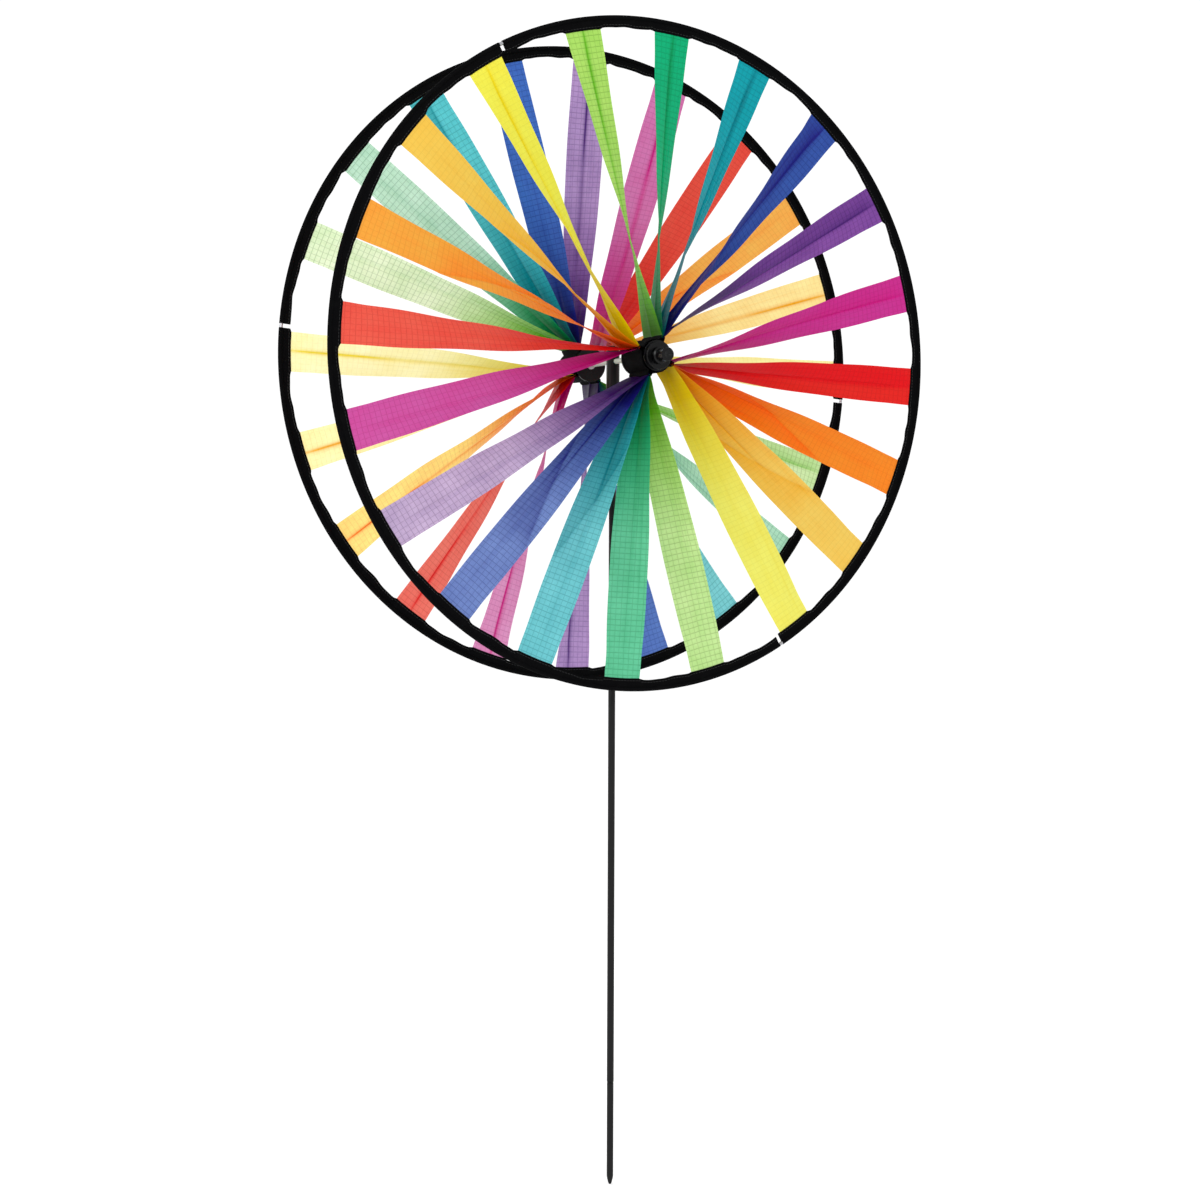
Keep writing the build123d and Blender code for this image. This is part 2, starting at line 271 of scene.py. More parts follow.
def ripstop_material(colour):
    """Thin nylon that lets light through: a fine weave, a net of thicker threads, painted shade in folds
    and near the hub, and a painted pale sheen.
    """
    open_colour, deep_and_shade_colour, sheen_colour, net_strength = RIPSTOP[colour]
    n = Nodes(f"ripstop_{colour}")
    cloth = n.add("ShaderNodeUVMap", uv_map="cloth").outputs[0]
    wander = n.add("ShaderNodeTexNoise")
    n.set(wander, "Vector", cloth)
    n.set(wander, "Scale", 45.0)
    nudge = n.add("ShaderNodeVectorMath", operation="MULTIPLY_ADD")
    n.set(nudge, 0, wander.outputs["Color"])
    n.set(nudge, 1, (WANDER, WANDER, 0.0))
    n.set(nudge, 2, cloth)
    axes = n.add("ShaderNodeSeparateXYZ")
    n.set(axes, 0, nudge.outputs[0])
    along, across = axes.outputs[0], axes.outputs[1]
    bars = lines_along(n, along, GRID_PITCH, BAR_WIDTH)
    posts = lines_along(n, across, GRID_PITCH, POST_WIDTH)
    net = n.math("MAXIMUM", bars, n.math("MULTIPLY", posts, 0.75))
    threads = n.math(
        "MAXIMUM",
        lines_along(n, along, THREAD_PITCH, THREAD_WIDTH),
        lines_along(n, across, THREAD_PITCH, THREAD_WIDTH),
    )
    weave = n.math("MULTIPLY", ripple_along(n, along, YARN_PITCH), ripple_along(n, across, YARN_PITCH))
    slubs = n.noise(cloth, 260.0, 3.0, 0.6)
    clouds = n.noise(cloth, 30.0, 2.0, 0.5)
    pale, deep = linear(*open_colour), linear(*deep_and_shade_colour)
    painted_sheen = n.add("ShaderNodeAttribute", attribute_name="painted_sheen").outputs["Fac"]
    painted_shade = n.add("ShaderNodeAttribute", attribute_name="painted_shade").outputs["Fac"]
    # painted sheen: the cloth turns pale where reflected light and backlight are painted in
    tone = n.mix(painted_sheen, pale, linear(*sheen_colour))
    tone = n.mix(n.spread(clouds, 0.35, 0.75, 0.0, 0.25), tone, deep)
    tone = n.mix(n.spread(slubs, 0.4, 0.7, 0.0, 0.12), tone, deep)
    # painted shade: deeper colour in creases and near the hub
    tone = n.mix(n.spread(painted_shade, 0.0, 1.0, 0.0, 1.0), tone, deep)
    yarn_and_root_shade = tuple(0.35 * part for part in deep[:3]) + (1.0,)
    # painted shade at the roots: past the deep colour towards the yarn colour
    tone = n.mix(n.spread(painted_shade, 1.0, 2.0, 0.0, 2.5 * (net_strength - 0.1)), tone, yarn_and_root_shade)
    tone = n.mix(n.math("MULTIPLY", threads, 0.3 * net_strength), tone, yarn_and_root_shade)
    tone = n.mix(n.math("MULTIPLY", net, net_strength), tone, yarn_and_root_shade)
    height = n.math("ADD", n.math("MULTIPLY", weave, 0.12), net)
    normal = n.bump(height, 0.08 * MM, 0.6)
    face = n.add("ShaderNodeBsdfPrincipled")
    n.set(face, "Base Color", tone)
    n.set(face, "Roughness", n.spread(slubs, 0.3, 0.7, 0.38, 0.5))
    n.set(face, "Specular IOR Level", 0.14)
    n.set(face, "Normal", normal)
    through = n.add("ShaderNodeBsdfTranslucent")
    n.set(through, "Color", tone)
    n.set(through, "Normal", normal)
    both = n.add("ShaderNodeMixShader")
    n.set(both, 0, LIGHT_THROUGH)
    n.set(both, 1, face.outputs[0])
    n.set(both, 2, through.outputs[0])
    return n.finish(both.outputs[0])


TAPE_WARP_PITCH = 0.9 * MM
TAPE_WEFT_PITCH = 0.5 * MM


def black_tape_material():
    """Close black tape: a diagonal weave with a little dust, and hardly any shine."""
    n = Nodes("black_tape")
    cloth = n.add("ShaderNodeUVMap", uv_map="cloth").outputs[0]
    axes = n.add("ShaderNodeSeparateXYZ")
    n.set(axes, 0, cloth)
    along, across = axes.outputs[0], axes.outputs[1]
    slant = n.math("ADD", along, across)
    warp = ripple_along(n, slant, TAPE_WARP_PITCH)
    weft = ripple_along(n, across, TAPE_WEFT_PITCH)
    weave = n.math("ADD", n.math("MULTIPLY", warp, 0.6), n.math("MULTIPLY", weft, 0.4))
    dust = n.noise(cloth, 90.0, 4.0, 0.6)
    tone = n.mix(n.spread(weave, -1.0, 1.0, 0.0, 0.6), linear(3, 3, 4), linear(13, 13, 14))
    tone = n.mix(n.spread(dust, 0.5, 0.8, 0.0, 0.3), tone, linear(22, 22, 22))
    face = n.add("ShaderNodeBsdfPrincipled")
    n.set(face, "Base Color", tone)
    n.set(face, "Roughness", n.spread(dust, 0.3, 0.7, 0.7, 0.86))
    n.set(face, "Specular IOR Level", 0.03)
    n.set(face, "Normal", n.bump(weave, 0.12 * MM, 0.7))
    return n.finish(face.outputs[0])


def thread_material():
    """Black sewing thread, dark and light along its twist."""
    n = Nodes("black_thread")
    spot = n.add("ShaderNodeTexCoord").outputs["Object"]
    twist = n.add("ShaderNodeTexWave", wave_type="BANDS", bands_direction="DIAGONAL")
    n.set(twist, "Vector", spot)
    n.set(twist, "Scale", 900.0)
    face = n.add("ShaderNodeBsdfPrincipled")
    n.set(face, "Base Color", n.mix(twist.outputs["Fac"], linear(8, 8, 9), linear(26, 26, 28)))
    n.set(face, "Roughness", 0.55)
    n.set(face, "Normal", n.bump(twist.outputs["Fac"], 0.05 * MM, 0.6))
    return n.finish(face.outputs[0])


def moulded_black_material(name, dark, light, rough_low, rough_high, grain_scale):
    """Black plastic with a fine moulded grain, faint handling marks, and dulled patches."""
    n = Nodes(name)
    spot = n.add("ShaderNodeTexCoord").outputs["Object"]
    grain = n.noise(spot, grain_scale, 3.0, 0.6)
    marks = n.noise(spot, 160.0, 4.0, 0.65)
    patches = n.noise(spot, 40.0, 2.0, 0.5)
    tone = n.mix(n.spread(patches, 0.35, 0.7, 0.0, 1.0), dark, light)
    face = n.add("ShaderNodeBsdfPrincipled")
    n.set(face, "Base Color", tone)
    n.set(face, "Roughness", n.spread(marks, 0.35, 0.7, rough_low, rough_high))
    n.set(face, "Specular IOR Level", 0.18)
    relief = n.math("ADD", grain, n.math("MULTIPLY", marks, 0.5))
    n.set(face, "Normal", n.bump(relief, 0.05 * MM, 0.35))
    return n.finish(face.outputs[0])


def pole_material():
    """Black fibreglass: fine streaks along the tube under a satin coat, with rubbed patches."""
    n = Nodes("black_fibreglass")
    spot = n.add("ShaderNodeTexCoord").outputs["Object"]
    stretch = n.add("ShaderNodeMapping")
    n.set(stretch, "Vector", spot)
    n.set(stretch, "Scale", (1.0, 1.0, 0.02))
    streaks = n.noise(stretch.outputs[0], 1800.0, 3.0, 0.6)
    rubbed = n.noise(spot, 55.0, 3.0, 0.6)
    tone = n.mix(n.spread(streaks, 0.35, 0.65, 0.0, 1.0), linear(4, 4, 5), linear(13, 13, 14))
    face = n.add("ShaderNodeBsdfPrincipled")
    n.set(face, "Base Color", tone)
    n.set(face, "Roughness", n.spread(rubbed, 0.35, 0.7, 0.34, 0.55))
    n.set(face, "Specular IOR Level", 0.2)
    n.set(face, "Normal", n.bump(streaks, 0.04 * MM, 0.5))
    return n.finish(face.outputs[0])


def drawn_metal_material(name, base, rough_low, rough_high):
    """Drawn metal with fine scratches and dull patches."""
    n = Nodes(name)
    spot = n.add("ShaderNodeTexCoord").outputs["Object"]
    scratches = n.noise(spot, 2600.0, 2.0, 0.7)
    dull = n.noise(spot, 300.0, 3.0, 0.5)
    face = n.add("ShaderNodeBsdfPrincipled")
    n.set(face, "Base Color", n.mix(n.spread(dull, 0.3, 0.7, 0.0, 0.3), base, linear(140, 140, 142)))
    n.set(face, "Metallic", 1.0)
    n.set(face, "Roughness", n.spread(scratches, 0.3, 0.7, rough_low, rough_high))
    n.set(face, "Normal", n.bump(scratches, 0.02 * MM, 0.4))
    return n.finish(face.outputs[0])


def spacer_material():
    """Pale grey-green plastic tube with faint clouding."""
    n = Nodes("pale_tube")
    spot = n.add("ShaderNodeTexCoord").outputs["Object"]
    clouds = n.noise(spot, 220.0, 3.0, 0.6)
    face = n.add("ShaderNodeBsdfPrincipled")
    n.set(face, "Base Color", n.mix(clouds, linear(150, 156, 146), linear(186, 190, 180)))
    n.set(face, "Roughness", n.spread(clouds, 0.3, 0.7, 0.35, 0.5))
    n.set(face, "Subsurface Weight", 0.15)
    n.set(face, "Subsurface Scale", 0.002)
    n.set(face, "Normal", n.bump(clouds, 0.05 * MM, 0.3))
    return n.finish(face.outputs[0])


def floor_material():
    """Plain near-white studio floor, very slightly mottled."""
    n = Nodes("studio_floor")
    spot = n.add("ShaderNodeTexCoord").outputs["Object"]
    mottle = n.noise(spot, 3.0, 2.0, 0.5)
    face = n.add("ShaderNodeBsdfPrincipled")
    n.set(face, "Base Color", n.mix(mottle, linear(252, 252, 252), linear(254, 254, 254)))
    n.set(face, "Roughness", 0.9)
    n.set(face, "Specular IOR Level", 0.1)
    return n.finish(face.outputs[0])


# ------------------------------------------------------------------ blades
BLADE_ROWS = 121
BLADE_COLUMNS = 37
TWIST = math.radians(90)
RIM_TUCK = 2.0 * MM  # how far a blade runs on inside the hem
TAB_TUCK = 1.5 * MM  # and inside its tab
NARROWING = 0.03  # share of its width that a blade loses by creasing between its ends
HALF_WAVES = 5.5  # of the small waves along a blade's edges
HUB_SHADE = 0.95  # how strongly the gathered cloth near the hub is painted in the deeper colour, standing in for backlight through it and its shade
LIGHT_PAINT = {  # blade by blade: above 0 the cloth gets a painted pale sheen, below 0 painted shade makes it deeper than its colour's middle
    "front": (
        (-0.03, 0.02, 0.06, 0.08, 0.06, 0.36, 0.12, 0.16, 0.13, 0.22),
        (0.08, 0.08, -0.45, -0.7, -0.25, -0.3, -0.4, -0.55, -0.36, -0.06),
    ),
    "rear": (
        (0.55, 0.95, 0.72, 0.2, 0.34, 0.2, 0.05, 0.2, 0.42, 0.4),
        (0.42, 0.62, 0.18, 0.05, 0.2, 0.2, 0.0, 0.1, 0.54, 0.63),
    ),
}
FOLDS = {  # blade by blade: s smooth, p pleat from the rim, l left half painted in shade, d slanting crease with one side painted in shade
    "front": "pddsssddsssddllllppp",
    "rear": "ppppppssslspdsppslss",
}

BEFORE_TAB = -0.2  # start of a crease that comes out of the tab
PAST_RIM = 1.06  # end of a crease that runs on into the hem
DYING_OUT = 0.12  # share of the blade's length that a crease takes to die out


class Crease:
    """A fold down a blade, darkened with painted shade. Places go from 0 to 1 along it from the tab, and
    from -1 to 1 across it.
    """

    def __init__(self, spot, drift, depth, width, start, end, dark, one_side=0):
        self.spot, self.drift = spot, drift  # place across at mid length, and its change end to end
        self.depth, self.width = depth, width
        self.start, self.end = start, end
        # dark: how strongly painted shade deepens the crease
        self.dark = dark
        self.one_side = one_side  # 0 when the shade is painted along the line alone, else the side that is painted in shade

    def strength(self, along):
        risen = smooth_step(self.start, self.start + DYING_OUT, along)
        return risen * smooth_step(self.end, self.end - DYING_OUT, along)

    def offset(self, along, across):
        return across - self.spot - self.drift * (along - 0.5)

    def shade_depth(self, along, across):
        """How much painted shade deepens the colour near the fold's line, and on the whole of its shaded
        side if it has one.
        """
        offset = self.offset(along, across)
        line = math.exp(-((offset / self.width) ** 2))
        if not self.one_side:
            return self.dark * line
        flank = smooth_step(-0.03, 0.03, offset * self.one_side)
        fade = math.exp(-abs(offset) * 0.9)
        return self.dark * (flank * fade + 0.35 * line)


def blade_creases(kind, dice):
    """A faint main crease in every blade, the folds that its kind calls for, and a few small ones, each
    with painted shade along it.
    """
    main = dice.uniform(-0.15, 0.2)
    drift = dice.uniform(-0.25, 0.25)
    # dark: strength of the painted shade along each crease
    dark = dice.uniform(0.05, 0.16)
    depth = dice.uniform(0.8, 1.8) * MM
    width = dice.uniform(0.14, 0.22)
    creases = [Crease(main, drift, depth, width, BEFORE_TAB, 1.0, dark)]
    if kind == "p":
        dark = dice.uniform(0.55, 0.85)
        creases.append(Crease(main, drift, 0.9 * MM, 0.045, 0.62, PAST_RIM, dark))
        dark = dice.uniform(0.3, 0.5)
        creases.append(Crease(main, drift, 0.7 * MM, 0.15, 0.25, PAST_RIM, dark))
    if kind == "l":
        dark = dice.uniform(0.45, 0.65)
        creases.append(Crease(main, drift, 1.2 * MM, 0.08, BEFORE_TAB, PAST_RIM, dark, one_side=-1))
    if kind == "d":
        start = dice.uniform(0.22, 0.36)
        lean = dice.choice((-1, 1)) * dice.uniform(4.0, 5.5)
        spot = -lean * (start + 0.18 - 0.5)
        dark = dice.uniform(0.4, 0.55)
        creases.append(Crease(spot, lean, 1.3 * MM, 0.07, start - 0.08, start + 0.44, dark, one_side=1))
        dark = dice.uniform(0.3, 0.5)
        creases.append(Crease(main, drift, 0.8 * MM, 0.05, BEFORE_TAB, start + 0.2, dark))
    for _ in range(dice.choice((1, 2, 2, 3))):
        spot = dice.choice((-1, 1)) * dice.uniform(0.35, 0.75)
        lean = dice.uniform(-0.4, 0.4)
        start = dice.uniform(BEFORE_TAB, 0.5)
        end = start + dice.uniform(0.35, 0.7)
        dark = dice.uniform(0.06, 0.2)
        depth = dice.uniform(0.2, 0.6) * MM
        width = dice.uniform(0.03, 0.08)
        creases.append(Crease(spot, lean, depth, width, start, end, dark))
    return creases


def blade_rows(length):
    """Distances from the tab's edge of a blade's rows of points. The first two are inside the tab."""
    steps = BLADE_ROWS - 3
    return [-TAB_TUCK, -0.5 * TAB_TUCK] + [length * k / steps for k in range(steps + 1)]


def blade_surface(node, wheel, length, tone, kind, dice):
    """A blade's points, row by row, and how much painted shade deepens the cloth at each.

    The ribbon turns a quarter turn, from flat at the rim to edge-on in its tab.
    """
    side = WHEELS[wheel]
    centre = wheel_centre(wheel)
    root, rim = blade_ends(node, wheel)
    heading = (rim - root).normalized()
    rim_way = rim.normalized()
    tab_way = outwards(root_tab(root, wheel))
    forward = Vector((0, -1, 0))
    creases = blade_creases(kind, dice)
    roof = dice.uniform(0.6, 2.2) * MM * dice.choice((-1, 1))
    bow = dice.uniform(0.5, 1.6) * MM * dice.choice((-1, 1))
    wave = dice.uniform(0.3, 0.9) * MM
    phase = dice.uniform(0, 2 * math.pi)
    points = []
    shade_levels = []
    for distance in blade_rows(length):
        along = max(0.0, distance / length)
        turn = TWIST * (1 - along)
        out = heading.lerp(rim_way, smooth_step(0.85, 1.0, along))
        around = Vector((out.z, 0, -out.x))
        width_way = around * math.cos(turn) + forward * (side * math.sin(turn))
        face_way = forward * math.cos(turn) - around * (side * math.sin(turn))
        free = smooth_step(0.0, 0.07, along) * smooth_step(1.0, 0.9, along)
        half_width = (1 - NARROWING * free) * BLADE_WIDTH / 2
        stem = root + (heading * distance if distance > 0 else tab_way * distance)
        for j in range(BLADE_COLUMNS):
            across = 2 * j / (BLADE_COLUMNS - 1) - 1
            lift = free * (bow * (across * across - 0.33) + roof * (0.5 - abs(across - creases[0].spot)))
            lift += wave * free * math.sin(HALF_WAVES * math.pi * along + phase) * across**3
            # painted shade near the hub, and over the whole blade where its painted light value is below 0
            painted_shade = HUB_SHADE * smooth_step(0.5, 0.0, along) + max(0.0, -tone)
            for crease in creases:
                strength = crease.strength(along)
                if strength > 0:
                    reach = abs(crease.offset(along, across)) / crease.width
                    lift -= crease.depth * strength * smooth_step(1.0, 0.9, along) * math.exp(-reach)
                    painted_shade += strength * crease.shade_depth(along, across)
            points.append(centre + stem + width_way * (across * half_width) + face_way * lift)
            # painted shade at the very root goes past 1, towards the yarn colour
            shade_levels.append(min(1.0, painted_shade) + smooth_step(0.16, 0.0, along))
    return points, shade_levels


def add_attribute(mesh, name, values):
    layer = mesh.attributes.new(name, "FLOAT", "POINT")
    layer.data.foreach_set("value", values)


def make_blade(node, wheel, tone, kind, dice, material):
    """One ribbon, with its folds, its painted shade and its painted sheen, stretched between its tab and
    the hem.
    """
    root, rim = blade_ends(node, wheel)
    length = (rim - root).length + RIM_TUCK
    rows = blade_rows(length)
    points, shade_levels = blade_surface(node, wheel, length, tone, kind, dice)

    def uv(i, j):
        return (rows[i], BLADE_WIDTH * (j / (BLADE_COLUMNS - 1) - 0.5))

    name = node.replace("_blade_", "_ribbon_")
    mesh = grid_mesh(name, points, BLADE_COLUMNS, uv)
    add_attribute(mesh, "painted_shade", shade_levels)
    # painted sheen, growing towards the rim
    sheen_levels = [max(0.0, tone) * (0.3 + 0.7 * smooth_step(0.1, 0.55, row / length)) for row in rows]
    add_attribute(mesh, "painted_sheen", [value for value in sheen_levels for _ in range(BLADE_COLUMNS)])
    ribbon = add_object(name, mesh, material)
    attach(ribbon, f"{wheel}_wheel")
    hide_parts(node)


# ------------------------------------------------------------------ stitches
STITCH_PITCH = 3.2 * MM
STITCH_LENGTH = 2.5 * MM
STITCH_RADIUS = 0.22 * MM
STITCH_HUMP = 0.12 * MM
STITCH_SIDES = 6
STITCH_RINGS = ((0.0, 0.35), (0.18, 0.9), (0.5, 1.0), (0.82, 0.9), (1.0, 0.35))  # place, thickness


def make_stitches(name, body, spots, thread):
    """Lock stitches, each a short rounded bar at a (middle, direction, outward) spot."""
    verts, faces = [], []
    for middle, along, up in spots:
        across = along.cross(up)
        first = len(verts)
        last = first + (len(STITCH_RINGS) - 1) * STITCH_SIDES
        for share, size in STITCH_RINGS:
            hump = up * (STITCH_HUMP * math.sin(math.pi * share))
            spine = middle + along * (STITCH_LENGTH * (share - 0.5)) + hump
            for s in range(STITCH_SIDES):
                turn = 2 * math.pi * s / STITCH_SIDES
                outward = across * math.cos(turn) + up * math.sin(turn)
                verts.append(spine + outward * (STITCH_RADIUS * size))
        for ring in range(first, last, STITCH_SIDES):
            following = ring + STITCH_SIDES
            for s in range(STITCH_SIDES):
                s2 = (s + 1) % STITCH_SIDES
                faces.append((ring + s, ring + s2, following + s2, following + s))
        faces.append(tuple(first + s for s in reversed(range(STITCH_SIDES))))
        faces.append(tuple(last + s for s in range(STITCH_SIDES)))
    mesh = bpy.data.meshes.new(name)
    mesh.from_pydata(verts, [], faces)
    mesh.shade_smooth()
    stitches = add_object(name, mesh, thread)
    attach(stitches, body)


# ------------------------------------------------------------------ rim hems
BEAD_RADIUS = 2.0 * MM  # of the tape round the rod
BEAD_OUTSIDE = 2.3 * MM  # from the rod's middle to the outside of the wheel
ROD_RING_RADIUS = RIM_RADIUS - BEAD_OUTSIDE
TAPE_GAP = 0.55 * MM  # between the two layers of the tape
TAPE_THICKNESS = 0.35 * MM
TAPE_SWELL = 0.25 * MM  # bulge of each layer between its edge and the bead
HEM_DEPTH = 12.5 * MM
SCALLOP = 1.5 * MM  # how much shallower the hem is between blades
SCALLOP_EDGE = math.radians(0.9)
HEM_GAP = 3.8 * MM  # between two half hems, where the ferrule is bare
HEM_STEPS = 360
WEB_POINTS = 6
BEAD_POINTS = 9
BEAD_WRAP = math.radians(280)
STITCH_INSET = 2.2 * MM
PHASE_RANGE = 6.28  # about a full turn


def half_starts(wheel):
    """Angles where the wheel's two half hoops meet, inside the ferrules."""
    centre = wheel_centre(wheel)
    spots = [v.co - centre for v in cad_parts[f"{wheel}_rim_ferrules"].data.vertices]
    first = sum((s for s in spots if s.dot(spots[0]) > 0), Vector())
    angle = math.atan2(first.z, first.x)
    return [angle, angle + math.pi]


def hem_depth_at(angle, blade_angles, waves):
    """Radial width of the hem: deepest where a blade is sewn in, shallower and wavy between."""
    nearest = min(angle_between(angle, blade) for blade in blade_angles)
    half_blade = BLADE_WIDTH / 2 / RIM_RADIUS
    at_blade = 1 - smooth_step(half_blade, half_blade + SCALLOP_EDGE, nearest)
    wave = sum(size * math.sin(count * angle + phase) for count, size, phase in waves)
    between = HEM_DEPTH - SCALLOP + wave
    return between + (HEM_DEPTH - between) * at_blade


def hem_section(depth):
    """(radius, side) points of a narrow U that opens towards the hub, from one free edge to the other."""
    edge = RIM_RADIUS - depth
    neck = ROD_RING_RADIUS - BEAD_RADIUS * 0.85
    shares = [k / (WEB_POINTS - 1) for k in range(WEB_POINTS)]
    layer = [
        (edge + (neck - edge) * share, TAPE_GAP / 2 + TAPE_SWELL * math.sin(math.pi * share))
        for share in shares
    ]
    turns = [BEAD_WRAP * (k / (BEAD_POINTS - 1) - 0.5) for k in range(BEAD_POINTS)]
    bead = [
        (ROD_RING_RADIUS + BEAD_RADIUS * math.cos(turn), BEAD_RADIUS * math.sin(turn)) for turn in turns
    ]
    return [(radius, -side) for radius, side in layer] + bead + layer[::-1]


def hem_stitch_spots(wheel, start, sweep, blade_angles, waves):
    """Places for a row of stitches on both faces of a hem, near its free edge."""
    centre = wheel_centre(wheel)
    count = int(ROD_RING_RADIUS * sweep / STITCH_PITCH)
    spots = []
    for face_side in (-1, 1):
        up = Vector((0, face_side, 0))
        for k in range(count):
            angle = start + sweep * (k + 0.5) / count
            radius = RIM_RADIUS - hem_depth_at(angle, blade_angles, waves) + STITCH_INSET
            middle = centre + outwards(angle) * radius + up * (TAPE_GAP / 2 + 0.36 * MM)
            spots.append((middle, clockwise(angle) * -1, up))
    return spots


def make_hem(wheel, number, start, dice, tape, thread):
    """Half a hoop of folded tape over the rod, with its two rows of stitches."""
    centre = wheel_centre(wheel)
    end_angle = HEM_GAP / 2 / ROD_RING_RADIUS
    sweep = math.pi - 2 * end_angle
    blade_angles = [blade_angle(node, wheel) for node in blade_nodes(wheel)]
    waves = [
        (dice.randint(9, 14), 0.4 * MM, dice.uniform(0, PHASE_RANGE)),
        (dice.randint(23, 31), 0.5 * MM, dice.uniform(0, PHASE_RANGE)),
        (dice.randint(47, 61), 0.4 * MM, dice.uniform(0, PHASE_RANGE)),
        (dice.randint(90, 120), 0.15 * MM, dice.uniform(0, PHASE_RANGE)),
    ]
    puckers = [
        (dice.randint(60, 90), dice.uniform(0, PHASE_RANGE)),
        (dice.randint(130, 170), dice.uniform(0, PHASE_RANGE)),
    ]
    points = []
    for i in range(HEM_STEPS + 1):
        angle = start + end_angle + sweep * i / HEM_STEPS
        ripple = sum(0.12 * MM * math.sin(count * angle + phase) for count, phase in puckers)
        for radius, side in hem_section(hem_depth_at(angle, blade_angles, waves)):
            web_share = smooth_step(ROD_RING_RADIUS - BEAD_RADIUS, RIM_RADIUS - HEM_DEPTH, radius)
            points.append(centre + outwards(angle) * radius + Vector((0, side + ripple * web_share, 0)))
    end_section = hem_section(hem_depth_at(start + end_angle, blade_angles, waves))
    widths = [0.0]
    for a, b in zip(end_section, end_section[1:]):
        widths.append(widths[-1] + math.hypot(b[0] - a[0], b[1] - a[1]))

    def uv(i, j):
        return (ROD_RING_RADIUS * sweep * i / HEM_STEPS, widths[j])

    name = f"{wheel}_hem_tape_{number}"
    hem = add_object(name, grid_mesh(name, points, len(end_section), uv), tape)
    shell = hem.modifiers.new("tape thickness", "SOLIDIFY")
    shell.thickness = TAPE_THICKNESS
    shell.offset = 0.0
    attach(hem, f"{wheel}_wheel")
    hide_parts(f"{wheel}_rim_hem")
    spots = hem_stitch_spots(wheel, start + end_angle, sweep, blade_angles, waves)
    make_stitches(f"{wheel}_hem_stitches_{number}", f"{wheel}_wheel", spots, thread)


# ------------------------------------------------------------------ hub sleeves
SLEEVE_CLOTH_RADIUS = 15.6 * MM
SLEEVE_THICKNESS = 0.5 * MM
SLEEVE_ROWS = 17
SLEEVE_ARC_STEPS = 30  # between two tabs
TAB_HALF = 2.1 * MM  # half the thickness of a tab
TAB_TAPER = 0.12
TAB_CORNER = 0.8 * MM
CORNER_STEPS = 4
EDGE_ROLL = 0.45 * MM  # how far the sleeve's two round edges turn in
TAB_STITCH_INSET = 1.6 * MM


def tab_side(tab_end):
    """(reach, half thickness) points up one side of a tab, from its root to the middle of its end."""
    straight = tab_end - TAB_CORNER - SLEEVE_CLOTH_RADIUS
    end_half = TAB_HALF * (1 - TAB_TAPER)
    points = []
    for share in (0.0, 0.35, 0.7):
        points.append((SLEEVE_CLOTH_RADIUS + straight * share, TAB_HALF * (1 - TAB_TAPER * share)))
    for step in range(CORNER_STEPS + 1):
        turn = math.pi / 2 * step / CORNER_STEPS
        reach = tab_end - TAB_CORNER * (1 - math.sin(turn))
        points.append((reach, end_half - TAB_CORNER * (1 - math.cos(turn))))
    return points


def sleeve_outline(tabs, tab_end):
    """Outline of a hub sleeve across the axle: a circle with a flat-ended tab at each tab angle."""
    root_turn = math.asin(TAB_HALF / SLEEVE_CLOTH_RADIUS)
    ordered = sorted(tabs)
    outline = []
    for tab, following in zip(ordered, ordered[1:] + [ordered[0] + 2 * math.pi]):
        out, left = outwards(tab), clockwise(tab) * -1
        side = tab_side(tab_end)
        outline += [out * reach - left * half for reach, half in side]
        outline += [out * reach + left * half for reach, half in side[:0:-1]]
        for step in range(SLEEVE_ARC_STEPS):
            turn = tab + root_turn + (following - tab - 2 * root_turn) * step / SLEEVE_ARC_STEPS
            outline.append(outwards(turn) * SLEEVE_CLOTH_RADIUS)
    return outline


def tab_stitch_spots(centre, length, tabs, tab_end):
    """Places for a row of stitches along the axle on both faces of each tab."""
    along = Vector((0, 1, 0))
    spots = []
    for tab in tabs:
        for face in (-1, 1):
            up = clockwise(tab) * face
            row = centre + outwards(tab) * (tab_end - TAB_STITCH_INSET) + up * (TAB_HALF * 0.93 + 0.02 * MM)
            for k in range(int(length / STITCH_PITCH)):
                spots.append((row + along * (STITCH_PITCH * (k + 0.5) - length / 2), along, up))
    return spots


